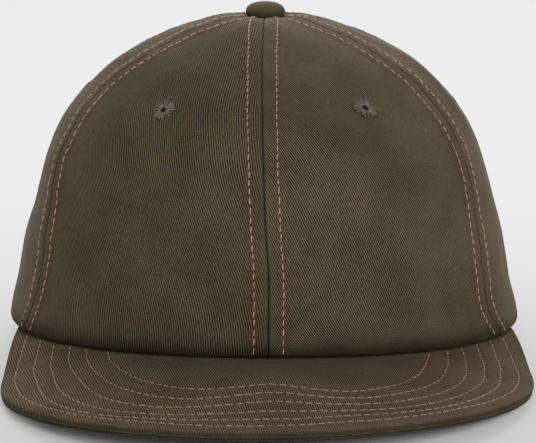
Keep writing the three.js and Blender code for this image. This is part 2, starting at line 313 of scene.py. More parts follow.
def crown_normal(azimuth, rise):
    """The crown's outward normal, level near the rim so that the hem hangs square."""
    azimuth, rise = np.broadcast_arrays(np.asarray(azimuth, float), np.asarray(rise, float))
    around = crown_skin(azimuth + 1, rise) - crown_skin(azimuth - 1, rise)
    low, high = np.maximum(rise - 0.01, 0), np.minimum(rise + 0.01, 0.999)
    up = crown_skin(azimuth, high) - crown_skin(azimuth, low)
    normal = unit(np.cross(around, up))
    normal[..., 2] *= ease(crown["height"](rise), 4, HEM_DEPTH + 5)
    return unit(normal)


def crown_wall(azimuth, rise, inset):
    return crown_skin(azimuth, rise) - crown_normal(azimuth, rise) * np.asarray(inset)[..., None]


def peak_root(across, inset):
    """A line along the peak's joint, this far inside the crown's outer surface."""
    across = np.asarray(across, float)
    return crown_wall(across * PEAK_ROOT_AZIMUTH, 0 * across, np.full(across.shape, inset))


PEAK_TIP = peak_root(1.0, PEAK_INSET)


def peak_height(x, y):
    """The peak's fall forward, its sideways curve and its slight lean."""
    forward = -y - SECTIONS["front"][0]
    curl = PEAK_CURL * np.maximum(forward, 0) ** 2
    height = PEAK_LEAN * x - PEAK_PITCH * forward - curl - x**2 / (2 * PEAK_BEND)
    return height * ease(PEAK_TIP[1] - y, 0, PEAK_ONSET)


def peak_edge(across):
    """The peak's outline in plan, from -1 at one tip to 1 at the other."""
    size = np.abs(np.asarray(across, float))
    angle = np.radians(size * PEAK_SWEEP)
    power = 2 / PEAK_SQUARENESS
    back = np.clip((size * PEAK_SWEEP - 90) / (PEAK_SWEEP - 90), 0, 1)
    reach = SECTIONS["front"][0] + PEAK_LENGTH + PEAK_WIDEST_Y
    x_front = PEAK_HALF_WIDTH * np.sin(angle) ** power
    y_front = PEAK_WIDEST_Y - reach * np.abs(np.cos(angle)) ** power
    x_back = PEAK_HALF_WIDTH + (PEAK_TIP[0] + PEAK_TIP_OUT - PEAK_HALF_WIDTH) * back**1.6
    y_back = PEAK_WIDEST_Y + (PEAK_TIP[1] - PEAK_TIP_FORWARD - PEAK_WIDEST_Y) * back
    x = np.where(back > 0, x_back, x_front) * np.sign(across)
    return np.stack([x, np.where(back > 0, y_back, y_front), np.zeros_like(x)], -1)


def peak_skin(across, out):
    """The peak's upper surface: out is 0 along the rim and 1 along the outer edge."""
    across, out = np.broadcast_arrays(np.asarray(across, float), np.asarray(out, float))
    root = peak_root(across, PEAK_INSET)
    point = root + (peak_edge(across) - root) * out[..., None]
    x, y = point[..., 0], point[..., 1]
    swell = np.sin(np.pi * np.clip(out / PEAK_RIDGE_REACH, 0, 1)) ** 2
    ridge = PEAK_RIDGE * swell * np.exp(-((x / PEAK_RIDGE_WIDTH) ** 2))
    level = (1 - out) * (root[..., 2] - peak_height(root[..., 0], root[..., 1]))
    point[..., 2] = peak_height(x, y) + level + ridge - GAP
    return point


# The cap leans to level the peak's two sides, and tips back about its heel until they are as
# low as the heel.
HEEL = crown_skin(180, 0)
PEAK_DEPTH = PEAK_THICKNESS + GAP + FACING_THICKNESS


def swing(points, lean, tilt):
    """Points turned about the Y axis by the lean, then back about the X axis by the tilt."""
    x, z = turned(points[..., 0], points[..., 2], lean)
    y, z = turned(points[..., 1], z, tilt)
    return np.stack([x, y, z], -1)


REST_LEAN = math.atan(PEAK_LEAN)
edge_across, edge_out = np.meshgrid(np.linspace(-1, 1, 81), [0.84, FACING_REACH])
lows = swing(peak_skin(edge_across, edge_out) - HEEL, REST_LEAN, 0)
REST_TILT = np.max(np.arctan2(PEAK_DEPTH - lows[..., 2], -lows[..., 1]))


def tip_back(directions):
    return swing(directions, REST_LEAN, REST_TILT)


def tipped(points):
    return tip_back(points - HEEL) + HEEL - np.array([0, 0, PRESS])


# The button's node gives the distance between the rim's frame and the row's.
UPRIGHT = tip_back(np.array([0, 0, 1.0]))
APEX = tipped(crown_skin(0, 1))
button_middle = np.add(*[np.array(corner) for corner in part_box("button")]) / 2 / MM
MOVE = (button_middle - APEX - UPRIGHT * (GAP + BUTTON_HEIGHT / 2)) * (1, 1, 0)


def rest(points):
    """Rim frame in millimetres to row frame in metres, flattened on the surface below."""
    placed = tipped(np.asarray(points, float)) + MOVE
    placed[..., 2] = np.maximum(placed[..., 2], 0)
    return placed * MM


def standing(place, axes):
    """The matrix of a thing at a tipped place, with its axes given in the rim's frame."""
    turn = Matrix([Vector(tip_back(axis)) for axis in axes]).transposed()
    return Matrix.Translation(Vector((place + MOVE) * MM)) @ turn.to_4x4()


def add(name, data):
    thing = bpy.data.objects.new(name, data)
    bpy.context.scene.collection.objects.link(thing)
    return thing


# Mesh work

WELD = 0.002 * MM


def bent_grid(name, place, charts):
    """A grid of cloth bent into place. place[row, column] is in the rim's frame, and each chart
    gives two values at each point, kept as a UV map."""
    rows, columns = place.shape[0] - 1, place.shape[1] - 1
    form = bmesh.new()
    bmesh.ops.create_grid(form, x_segments=columns, y_segments=rows, size=1)
    mesh = bpy.data.meshes.new(name)
    form.to_mesh(mesh)
    form.free()
    flat = np.empty(len(mesh.vertices) * 3)
    mesh.vertices.foreach_get("co", flat)
    share = (flat.reshape(-1, 3)[:, :2] + 1) / 2
    column = np.rint(share[:, 0] * columns).astype(int)
    row = np.rint(share[:, 1] * rows).astype(int)
    mesh.vertices.foreach_set("co", rest(place)[row, column].ravel())
    corners = np.empty(len(mesh.loops), int)
    mesh.loops.foreach_get("vertex_index", corners)
    for title, chart in charts.items():
        layer = mesh.uv_layers.new(name=title)
        layer.data.foreach_set("uv", chart[row, column][corners].ravel())
    return finish_mesh(name, mesh)


def finish_mesh(name, mesh):
    mesh.polygons.foreach_set("use_smooth", [True] * len(mesh.polygons))
    mesh.update()
    return add(name, mesh)


def finish_form(name, form):
    mesh = bpy.data.meshes.new(name)
    form.to_mesh(mesh)
    form.free()
    return finish_mesh(name, mesh)


def turn_round(form, section, sides, closed):
    """Turns a section, given as radius and height in millimetres, round the Z axis."""
    verts = [form.verts.new((r * MM, 0, z * MM)) for r, z in section]
    following = verts[1:] + verts[:1] if closed else verts[1:]
    edges = [form.edges.new((a, b)) for a, b in zip(verts, following)]
    circle = {"cent": (0, 0, 0), "axis": (0, 0, 1), "angle": math.tau, "steps": sides}
    bmesh.ops.spin(form, geom=verts + edges, use_merge=True, **circle)


def closed_piece(name, upper, lower, charts):
    """Cloth with an upper side and, back from the outer edge, a lower one, on the same charts."""
    both = {title: np.concatenate([chart, chart[-2::-1]]) for title, chart in charts.items()}
    piece = bent_grid(name, np.concatenate([upper, lower[-2::-1]]), both)
    form = bmesh.new()
    form.from_mesh(piece.data)
    bmesh.ops.remove_doubles(form, verts=form.verts, dist=WELD)
    bmesh.ops.dissolve_degenerate(form, edges=form.edges, dist=WELD / 2)
    bmesh.ops.recalc_face_normals(form, faces=form.faces)
    form.to_mesh(piece.data)
    form.free()
    return piece


def thicken(piece, thickness):
    """Gives a sheet of cloth its thickness inward, above the surface it rests on."""
    wall = piece.modifiers.new("cloth", "SOLIDIFY")
    wall.thickness = thickness * MM
    wall.offset = -1
    form = bmesh.new()
    form.from_object(piece, bpy.context.evaluated_depsgraph_get())
    piece.modifiers.clear()
    for vert in form.verts:
        vert.co.z = max(vert.co.z, 0)
    form.to_mesh(piece.data)
    form.free()


def settle(piece, material, nodes=()):
    """Every piece rides on the cap, takes its finish from a slot and may stand for CAD nodes."""
    piece.data.materials.append(material)
    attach(piece, "root")
    if nodes:
        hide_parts(*nodes)
    return piece


# Thread work

STITCH_FULLNESS = 6  # power that keeps the stitch full up to its ends
STITCH_FATTEST = 1.6
STITCH_DIVE = 1.1  # how far its ends go into the cloth, in radii


def stitch_form():
    """One stitch, a unit long and a unit in radius, sunk into the cloth at both ends. Its UV map
    runs from the middle to the ends, where the thread's finish paints shade."""
    form = bmesh.new()
    run = form.loops.layers.uv.new("run")
    bmesh.ops.create_uvsphere(form, u_segments=6, v_segments=7, radius=1)
    bmesh.ops.rotate(form, verts=form.verts, matrix=Matrix.Rotation(math.pi / 2, 3, "Y"))
    for vert in form.verts:
        x = vert.co.x
        ball = max(math.sqrt(max(1 - x**2, 0)), 0.05)
        fat = min(math.sqrt(max(1 - x**STITCH_FULLNESS, 0)) / ball, STITCH_FATTEST)
        vert.co.y *= fat
        vert.co.z = vert.co.z * fat - STITCH_DIVE * x**4
        vert.co.x = x / 2
    for face in form.faces:
        for loop in face.loops:
            loop[run].uv = (abs(loop.vert.co.x) * 2, 0)
    mesh = bpy.data.meshes.new("stitch")
    form.to_mesh(mesh)
    form.free()
    return mesh


STITCH = stitch_form()


def lay_stitch(form, start, end, up, radius):
    """Adds a stitch between two points, in metres."""
    known = len(form.verts)
    form.from_mesh(STITCH)
    form.verts.ensure_lookup_table()
    along = Vector(end - start)
    side = Vector(up).cross(along).normalized()
    top = along.normalized().cross(side)
    turn = Matrix((along, side * radius, top * radius * STITCH_HEIGHT)).transposed()
    middle = Vector((start + end) / 2) + top * radius * STITCH_SEAT
    bmesh.ops.transform(
        form, matrix=Matrix.Translation(middle) @ turn.to_4x4(), verts=form.verts[known:]
    )


def read_at(at, distances, points):
    """The point at a distance along a line of points, or the direction where those are given."""
    return np.array([np.interp(at, distances, points[:, k]) for k in range(3)])


def lengths_along(line):
    """How far along a line of points each of them lies."""
    return np.concatenate([[0], np.cumsum(apart(line[1:], line[:-1]))])


def vary(chance, spread, middle=0.0):
    return chance.uniform(middle - spread, middle + spread)


def sew(form, line, ups, pitch, thread, seed):
    """Slanting stitches along a line of points in metres, with the outward direction at each."""
    chance = random.Random(seed)
    reach = lengths_along(line)
    at = chance.uniform(*STITCH_START) * pitch * MM
    while at + pitch * MM < reach[-1]:
        step = pitch * vary(chance, LENGTH_VARIES, 1) * MM
        start = read_at(at, reach, line)
        end = read_at(at + step * STITCH_SHARE, reach, line)
        up = read_at(at + step / 2, reach, ups)
        side = unit(np.cross(up, end - start)) * MM
        slant = side * (STITCH_SLANT + vary(chance, SLANT_VARIES))
        shift = side * vary(chance, SHIFT_VARIES)
        radius = thread * vary(chance, RADIUS_VARIES, 1) * MM
        lay_stitch(form, start + shift + slant, end + shift - slant, up, radius)
        at += step


# Crown panels

PANEL_SIDE_COLUMNS = 20
PANEL_MIDDLE_COLUMNS = 40
PANEL_SIDE_SHARE = 0.082  # of a panel's width, with closer columns
SKIN_ROWS = 106
HEM_ROWS = (20, 16, 12, 8.5, 5.5, 3, 1.2)  # heights, down the inside of the hem
INNER_ROLL = (20, 50, 80)  # angles round the rim's inner edge
OUTER_ROLL = (90, 72, 54, 36, 18)  # and round its outer edge
INSIDE = -4  # length up the cloth where the inside of the hem begins
OUTSIDE = 1  # and where the relief has its full depth

# Depths and half widths of the relief beside a seam.
SEAM_DITCH = (-0.32, 0.4)
SEAM_GROOVE = (-0.24, 0.75)
SEAM_PUCKER = (0.24, 3.2)
SEAM_SWELL = (0.2, 7)
SEAM_BAND = 0.42
SEAM_BAND_FADE = (5.0, 7.6)
SEAM_PUCKERS = (6.3, 4.4, 9.1)  # periods along the seam
SEAM_SWELLS = (15, 23)
PUCKER_SLANT = 0.5

# Size, depth and offset of each soft unevenness of the cloth.
CROWN_UNEVENNESS = ((26, 0.5, 0), (9, 0.16, 50))
PEAK_UNEVENNESS = ((24, 0.35, 0), (8, 0.1, 9))

ROLL_ROWS_SEWN = 3  # rows of the rim's roll that the stitching reaches
STITCH_CLEAR = 0.35  # from a line of stitching to the middle of its panel
LEAST_STITCH_GAP = 1.6  # where the stitching ends
STITCH_ASIDE = 1.5  # to the point that gives the direction across a line
WEAVE_OFFSET = 170  # between panels, so that no two weaves look alike


def panel_columns():
    """Column places across a panel, closer beside the seams. The first and the last are doubled,
    and turn in behind the seam."""
    side = np.linspace(0, PANEL_SIDE_SHARE, PANEL_SIDE_COLUMNS + 1)
    middle = np.linspace(PANEL_SIDE_SHARE, 1 - PANEL_SIDE_SHARE, PANEL_MIDDLE_COLUMNS + 1)
    return np.concatenate([[0], side, middle[1:-1], 1 - side[::-1], [1]])


def panel_rows():
    """Rows of a panel as (height, inset, length up the cloth), from the inside of the hem round
    the rim to the apex."""
    rows = [(z, HEM_THICKNESS, -z - 2 * HEM_ROLL) for z in HEM_ROWS]
    small = HEM_THICKNESS - HEM_ROLL
    for turn in np.radians(INNER_ROLL).tolist():
        rows.append((small * (1 - math.sin(turn)), HEM_ROLL + small * math.cos(turn), INSIDE))
    for turn in np.radians(OUTER_ROLL).tolist():
        length = HEM_ROLL - HEM_ROLL * turn
        rows.append((HEM_ROLL * (1 - math.sin(turn)), HEM_ROLL * (1 - math.cos(turn)), length))
    start = rise_of(HEM_ROLL)
    end = 1 - CROWN_OPENING / PROFILE
    for rise in np.linspace(start, end, SKIN_ROWS):
        rows.append((float(crown["height"](rise)), 0, float(rise * PROFILE)))
    return np.array(rows)


def waver(along, seed, *periods):
    """A soft irregular wave along a line, with the given periods in millimetres."""
    chance = random.Random(seed)
    total = 0
    for period in periods:
        total = total + np.sin(along * math.tau / period + chance.uniform(0, math.tau))
    return total / len(periods)


def bell(distance, relief, wave=1.0):
    """A relief of some depth and half width, by the distance from its middle."""
    depth, half_width = relief
    return depth * wave * np.exp(-((distance / half_width) ** 2))


def seam_relief(gap, along, seam):
    """Rise of the cloth beside a seam: its ditch and band, and the groove and puckers of the
    topstitching. It depends on the seam alone, so the two panels meet level."""
    ditch = bell(gap, SEAM_DITCH)
    band = SEAM_BAND * (1 - ease(gap, *SEAM_BAND_FADE))
    groove = bell(gap - STITCH_GAP, SEAM_GROOVE)
    drawn = waver(along + PUCKER_SLANT * gap, seam, *SEAM_PUCKERS)
    pucker = bell(gap - STITCH_GAP, SEAM_PUCKER, drawn)
    swell = bell(gap, SEAM_SWELL, waver(along, f"{seam} swell", *SEAM_SWELLS))
    return ditch + band + groove + pucker + swell


def unevenness(points, size, depth, offset):
    """A soft unevenness of the cloth over about size millimetres."""
    flat = (points + offset).reshape(-1, 3) / size
    values = [noise.noise(Vector(point)) for point in flat]
    return depth * np.array(values).reshape(points.shape[:-1])


def panel_surface(begin, end):
    """Places of a panel's grid, with each point's distance from both seams and up the cloth."""
    rows = panel_rows()
    rise = rise_of(rows[:, 0])
    skin = len(rows) - SKIN_ROWS
    rise[skin:] = rows[skin:, 2] / PROFILE
    height = rows[:, 0]
    columns = panel_columns()
    first, last = seams[begin](height), seams[end](height)
    if last[0] < first[0]:
        last = last + 360
    azimuth = first[:, None] + (last - first)[:, None] * columns
    rises = np.broadcast_to(rise[:, None], azimuth.shape)
    base = crown_skin(azimuth, rises)
    steps = apart(base[:, 1:], base[:, :-1])
    left = np.concatenate([np.zeros((len(rows), 1)), np.cumsum(steps, axis=1)], axis=1)
    width = left[:, -1:]
    trim = 1 - 2 * SEAM_CLEARANCE / width
    azimuth = azimuth + (0.5 - columns) * (1 - trim) * (last - first)[:, None]
    right = width - left
    along = np.broadcast_to(rows[:, 2:3], left.shape)
    relief = seam_relief(left, along, begin) + seam_relief(right, along, end)
    inset = np.tile(rows[:, 1:2], left.shape[1])
    outside = ease(along, INSIDE, OUTSIDE)
    inset[:, [0, -1]] += SEAM_TUCK + SEAM_TURN * outside[:, [0, -1]]
    for kind in CROWN_UNEVENNESS:
        relief = relief + unevenness(base, *kind)
    place = crown_wall(azimuth, rises, inset - relief * outside)
    return {"place": place, "left": left, "right": right, "along": along, "width": width[:, 0]}


def cut_eyelet_hole(piece, centre):
    """Opens the cloth under an eyelet."""
    form = bmesh.new()
    form.from_mesh(piece.data)
    spot = Vector(centre)
    reach = EYELET_CLOTH_HOLE * MM
    inner = [f for f in form.faces if (f.calc_center_median() - spot).length < reach]
    bmesh.ops.delete(form, geom=inner, context="FACES")
    for vert in form.verts:
        if vert.is_boundary and (vert.co - spot).length < 2 * reach:
            vert.co = spot + (vert.co - spot).normalized() * reach
    form.to_mesh(piece.data)
    form.free()


def stitch_line(surface, side):
    """The topstitching beside one seam of a panel, in metres, with its outward directions."""
    places = rest(surface["place"])
    order = 1 if side == "left" else -1
    line, asides = [], []
    for row in range(len(places) - SKIN_ROWS - ROLL_ROWS_SEWN, len(places)):
        gaps, points = surface[side][row][::order], places[row][::order]
        gap = min(STITCH_GAP, surface["width"][row] / 2 - STITCH_CLEAR)
        if gap < LEAST_STITCH_GAP:
            break
        here = read_at(gap, gaps, points)
        line.append(here)
        asides.append(read_at(gap + STITCH_ASIDE, gaps, points) - here)
    line = np.array(line)
    up = np.cross(np.array(asides), np.gradient(line, axis=0))
    return line, unit(up * order)


# Each panel with its seams, and the tone and strength of its weave: partly dye that differs a
# little from panel to panel, and partly painted light, which makes the front right panel lighter
# with stronger ridges and the front left one darker.
PANELS = [
    ("front_left", "left", "front", (0.97, 0.95)),
    ("front_right", "front", "right", (1.07, 1.2)),
    ("side_right", "right", "back_right", (1.0, 1.0)),
    ("back_right", "back_right", "back", (0.97, 1.0)),
    ("back_left", "back", "back_left", (1.03, 1.0)),
    ("side_left", "back_left", "left", (0.98, 1.0)),
]


def eyelet_seat(index, surface):
    """Middle and outward direction of an eyelet on the finished cloth."""
    azimuth, height = EYELETS["azimuth"][index], EYELETS["height"][index]
    rise = rise_of(height)
    ideal = rest(crown_skin(azimuth, rise))
    places = rest(surface["place"]).reshape(-1, 3)
    nearest = places[np.argmin(apart(places, ideal))]
    normal = tip_back(crown_normal(azimuth, rise))
    middle = ideal + normal * np.dot(nearest - ideal, normal)
    return middle, normal


def spoke(turn):
    return np.array([math.cos(turn), math.sin(turn), 0])


def eyelet(name, middle, normal, material, node, seed):
    """A worked eyelet: a raised ring with threads over it from the hole outward."""
    chance = random.Random(seed)
    form = bmesh.new()
    run = form.loops.layers.uv.new("run")
    out = Vector(normal)
    seat = Matrix.Translation(Vector(middle)) @ out.to_track_quat("Z", "Y").to_matrix().to_4x4()
    turn_round(form, EYELET_RING, EYELET_SIDES, True)
    bmesh.ops.recalc_face_normals(form, faces=form.faces)
    # the ring under the threads takes painted shade
    for face in form.faces:
        for loop in face.loops:
            loop[run].uv = (EYELET_RING_RUN, 0)
    for i in range(EYELET_THREADS):
        turn = (i + EYELET_SPACING_VARIES * (chance.random() - 0.5)) * math.tau / EYELET_THREADS
        skew = chance.uniform(*EYELET_SKEW)
        inner = spoke(turn) * EYELET_HOLE * chance.uniform(*EYELET_INNER)
        wide = EYELET_RADIUS * chance.uniform(*EYELET_OUTER)
        outer = spoke(turn + skew) * wide
        inner[2], outer[2] = EYELET_HEIGHTS
        radius = EYELET_THREAD * chance.uniform(*EYELET_THICKNESS)
        lay_stitch(form, inner * MM, outer * MM, np.array([0, 0, 1.0]), radius * MM)
    bmesh.ops.transform(form, matrix=seat, verts=form.verts)
    piece = finish_form(name, form)
    return settle(piece, material, (node,))


def make_crown(cloth, thread, eyelet_thread):
    sewing = bmesh.new()
    for index, (title, begin, end, tone) in enumerate(PANELS):
        surface = panel_surface(begin, end)
        middle_line = (surface["left"] - surface["right"]) / 2
        seam_gap = np.minimum(surface["left"], surface["right"])
        charts = {
            "cloth": np.stack([middle_line + WEAVE_OFFSET * index, surface["along"]], -1),
            # the distance from the seam also sets the painted shade in its ditch
            "sewing": np.stack([np.abs(seam_gap - STITCH_GAP), seam_gap], -1),
            "tone": np.broadcast_to(tone, (*middle_line.shape, 2)),
        }
        panel = bent_grid(f"{title}_panel", surface["place"], charts)
        middle, normal = eyelet_seat(index, surface)
        cut_eyelet_hole(panel, middle)
        thicken(panel, CLOTH)
        settle(panel, cloth, (f"panel_{title}",))
        for side in ("left", "right"):
            line, ups = stitch_line(surface, side)
            sew(sewing, line, ups, CROWN_STITCH, THREAD, f"{title} {side}")
        seed = EYELET_SEED + index
        eyelet(f"{title}_eyelet", middle, normal, eyelet_thread, f"eyelet_{title}", seed)
    settle(finish_form("crown_topstitching", sewing), thread)


# Peak

PEAK_GRID = (250, 120)
FACING_GRID = (120, 30)
PEAK_CROWDING = 1.35  # of the columns towards the tips, below pi / 2
PEAK_EDGE_ROWS = 6  # rows of the rounded outer edge
PEAK_LAST_FLAT = 0.999  # the flat rows' share of the reach before those
PEAK_TUCK = 0.85  # where a row lies between the joint and the flange
PEAK_HIDDEN_ROWS = 3  # rows under the crown, up to the joint
PEAK_GRAIN = 12  # the weave's angle to the middle line, in degrees
# the peak's tone and weave strength: its lighter tone is painted light on its upturned face, on
# the same cloth as the crown's
PEAK_TONE = (1.12, 0.9)

# Depths and half widths of the relief beside each row of stitching.
PEAK_GROOVE = (-0.36, 0.85)
PEAK_PUCKER = (0.10, 2.2)
PEAK_PUCKERS = (5.3, 3.9, 8.2)  # periods along the row
PEAK_PUCKER_SEED = 5
PEAK_ROW_SHIFT = 31  # each row reads the puckers this much further along
PEAK_ROW_END = 0.985
PEAK_ROW_POINTS = 1600
PEAK_ROW_SETTLED = 200  # after so many points a row that meets the crown ends

# Where the relief sets in from the outer edge and from the joint.
RELIEF_FROM_EDGE = (0.5, 4)
RELIEF_FROM_JOINT = (1, 7)
JOINT_SHARE = 0.3  # of the distance from the joint that counts as distance from an edge, which widens the painted shade along the joint under the crown's hem


def peak_distance_rows():
    """Stitch rows of the peak in plan, each at its distance in from the edge."""
    across = np.linspace(-PEAK_ROW_END, PEAK_ROW_END, PEAK_ROW_POINTS)
    edge = peak_edge(across)
    flow = unit(np.gradient(edge, axis=0))
    inward = np.stack([-flow[:, 1], flow[:, 0], np.zeros(len(flow))], -1)
    lines = []
    for title in list(PEAK_STITCHING)[1:]:
        distance = smooth(PEAK_STITCHING["angle"], PEAK_STITCHING[title])
        lines.append(edge + inward * distance(across * PEAK_SWEEP)[:, None])
    return lines


def plan_tree(points):
    """A search tree over points seen from above."""
    tree = kdtree.KDTree(len(points))
    for i, point in enumerate(points):
        tree.insert((point[0], point[1], 0), i)
    tree.balance()
    return tree


def peak_layer(grid, reach, depth, thickness):
    """Middle surface of a layer of the peak and half its thickness, which ends in nothing all
    round. The layer at depth 0 is the upper one."""
    columns, rows = grid
    across = np.sin(np.linspace(-1, 1, columns + 1) * PEAK_CROWDING) / math.sin(PEAK_CROWDING)
    roll = thickness / 2
    share = np.linspace(0, 1, rows)
    turns = np.linspace(0, np.pi / 2, PEAK_EDGE_ROWS + 1)[:-1]
    near = roll * (1 - np.cos(turns)) / (PEAK_LENGTH * reach)
    out = np.concatenate([share * (1 - near[-1]) * PEAK_LAST_FLAT, 1 - near[::-1]]) * reach
    surface = peak_skin(*np.meshgrid(across, out))
    root = peak_root(across, PEAK_FLANGE)
    root[:, 2] -= GAP
    inner = surface[0] + (root - surface[0]) * PEAK_TUCK
    surface = np.concatenate([root[None], inner[None], surface], axis=0)
    if depth == 0:
        from_root = apart(surface, surface[2:3])
        surface[..., 2] += PEAK_LIFT * (1 - ease(from_root, *PEAK_LIFT_FADE))
    tips = np.minimum(apart(surface, surface[:, :1]), apart(surface, surface[:, -1:]))
    fat = np.ones(surface.shape[:2])
    for distance in (apart(surface, surface[-1:]), apart(surface, surface[:1]), tips):
        t = np.clip(distance / roll, 0, 1)
        fat = fat * np.sqrt(np.clip(1 - (1 - t) ** 2, 0, 1))
    surface[..., 2] -= depth + thickness / 2
    half = np.zeros_like(surface)
    half[..., 2] = fat * thickness / 2
    return surface, half


def peak_relief(surface):
    """Rise of the peak's cloth beside its stitching, and the distance from the nearest row."""
    lines = peak_distance_rows()
    trees = [plan_tree(line) for line in lines]
    lengths = [lengths_along(line) for line in lines]
    flat = surface.reshape(-1, 3)
    gap = np.empty(len(flat))
    along = np.empty(len(flat))
    for i, point in enumerate(flat):
        spot = (point[0], point[1], 0)
        found = [tree.find(spot) for tree in trees]
        best = min(range(len(found)), key=lambda k: found[k][2])
        gap[i] = found[best][2]
        along[i] = lengths[best][found[best][1]] + PEAK_ROW_SHIFT * best
    drawn = waver(along, PEAK_PUCKER_SEED, *PEAK_PUCKERS)
    relief = bell(gap, PEAK_GROOVE) + bell(gap, PEAK_PUCKER, drawn)
    return relief.reshape(surface.shape[:2]), gap.reshape(surface.shape[:2])


def peak_chart(surface):
    """The peak's cloth laid flat, with its weave turned off the middle line."""
    forward = surface[..., 1] * math.hypot(1, PEAK_PITCH)
    across, along = turned(surface[..., 0], forward, -math.radians(PEAK_GRAIN))
    return np.stack([across, along + 4 * FAR], -1)


def sew_peak(top, thread):
    """The rows of stitching, laid on the finished upper surface out to the crown's rim."""
    rise = unit(np.cross(np.gradient(top, axis=1), np.gradient(top, axis=0)))
    rise[rise[..., 2] < 0] *= -1
    flat, ups = top.reshape(-1, 3), rise.reshape(-1, 3)
    tree = plan_tree(flat)
    columns = top.shape[1]
    form = bmesh.new()
    for number, row in enumerate(peak_distance_rows()):
        placed, outward = [], []
        for point in row:
            _, index, _ = tree.find((point[0], point[1], 0))
            if index < PEAK_HIDDEN_ROWS * columns:
                if len(placed) > PEAK_ROW_SETTLED:
                    break
                placed, outward = [], []
                continue
            near, up = flat[index], ups[index]
            away = point[:2] - near[:2]
            z = near[2] - (up[0] * away[0] + up[1] * away[1]) / up[2]
            placed.append((point[0], point[1], z))
            outward.append(up)
        line, ups_there = rest(np.array(placed)), tip_back(np.array(outward))
        sew(form, line, ups_there, PEAK_STITCH, THREAD * PEAK_THREAD_SHARE, number)
    settle(finish_form("peak_stitching", form), thread)


def make_peak(cloth, under_cloth, thread):
    middle, half = peak_layer(PEAK_GRID, 1, 0, PEAK_THICKNESS)
    relief, gap = peak_relief(middle)
    for kind in PEAK_UNEVENNESS:
        relief = relief + unevenness(middle, *kind)
    from_edge = apart(middle, middle[-1:])
    from_root = apart(middle, middle[2:3])
    shown = ease(from_edge, *RELIEF_FROM_EDGE) * ease(from_root, *RELIEF_FROM_JOINT)
    top = middle + half
    top[..., 2] += relief * shown * np.clip(half[..., 2] / half[..., 2].max(), 0, 1)
    # the distance from the outer edge or the joint sets painted shade there: the shaded seam line
    # at the edge and the shadow under the crown's hem
    border = np.minimum(from_edge, JOINT_SHARE * from_root)
    charts = {
        "cloth": peak_chart(middle),
        "sewing": np.stack([gap, border], -1),
        "tone": np.broadcast_to(PEAK_TONE, (*gap.shape, 2)),
    }
    peak = closed_piece("peak_cover", top, middle - half, charts)
    settle(peak, cloth, ("peak",))
    sew_peak(top, thread)

    depth = PEAK_THICKNESS + GAP
    middle, half = peak_layer(FACING_GRID, FACING_REACH, depth, FACING_THICKNESS)
    chart = peak_chart(middle)
    charts = {"cloth": chart, "sewing": chart * 0 + FAR, "tone": chart * 0 + 1}
    facing = closed_piece("peak_under_cloth", middle + half, middle - half, charts)
    settle(facing, under_cloth, ("peak_facing",))


# Button


def make_button(cloth):
    """The covered button: a flattened ball whose cloth is gathered under its edge."""
    low, high = GAP - BUTTON_SINK, GAP + BUTTON_HEIGHT + BUTTON_PUFF
    foot = -BUTTON_SHANK_LENGTH
    section = [(0, foot), (BUTTON_SHANK_RADIUS, foot), (BUTTON_SHANK_RADIUS, low)]
    for angle in np.radians(np.linspace(BUTTON_LOWEST_ANGLE, 90, BUTTON_RINGS)):
        radius = BUTTON_RADIUS * max(math.cos(angle), 0) ** BUTTON_FLATNESS
        section.append((radius, low + (high - low) / 2 * (1 + math.sin(angle))))
    form = bmesh.new()
    turn_round(form, section, BUTTON_SIDES, False)
    bmesh.ops.remove_doubles(form, verts=form.verts, dist=5 * WELD)
    bmesh.ops.recalc_face_normals(form, faces=form.faces)
    for vert in form.verts:
        height = vert.co.z / MM
        turn = math.atan2(vert.co.y, vert.co.x)
        gather = ease(height, *BUTTON_GATHERS_START) * (1 - ease(height, *BUTTON_GATHERS_FADE))
        waves = sum(share * math.sin(n * turn + start) for n, share, start in BUTTON_GATHERS)
        fold = 1 + BUTTON_GATHER * float(gather) * waves
        vert.co.x *= fold
        vert.co.y *= fold
    chart, sewing, tone = (form.loops.layers.uv.new(n) for n in ("cloth", "sewing", "tone"))
    for face in form.faces:
        for loop in face.loops:
            x, y, z = loop.vert.co / MM
            spread = 1 + BUTTON_SPREAD * max(0, BUTTON_HEIGHT - z) / BUTTON_HEIGHT
            loop[chart].uv = (x * spread, y * spread + FAR)
            # painted shade: the cloth darkens towards the button's lower edge
            loop[sewing].uv = (FAR, BUTTON_SHARE * max(z - low, 0))
            loop[tone].uv = (1, 1)
    bmesh.ops.transform(form, matrix=standing(APEX, np.eye(3)), verts=form.verts)
    settle(finish_form("top_button", form), cloth, ("button",))


# Finishes


class Wire:
    """A shader socket that can be used in arithmetic."""

    def __init__(self, finish, socket):
        self.finish = finish
        self.socket = socket

    def _sum(self, operation, *values):
        return self.finish.node("Math", {"operation": operation}, dict(enumerate(values)))

    def __add__(self, other):
        return self._sum("ADD", self, other)

    def __sub__(self, other):
        return self._sum("SUBTRACT", self, other)

    def __rsub__(self, other):
        return self._sum("SUBTRACT", other, self)

    def __mul__(self, other):
        return self._sum("MULTIPLY", self, other)

    def __truediv__(self, other):
        return self._sum("DIVIDE", self, other)

    def __rtruediv__(self, other):
        return self._sum("DIVIDE", other, self)

    def sine(self):
        return self._sum("SINE", self)

    __radd__ = __add__
    __rmul__ = __mul__


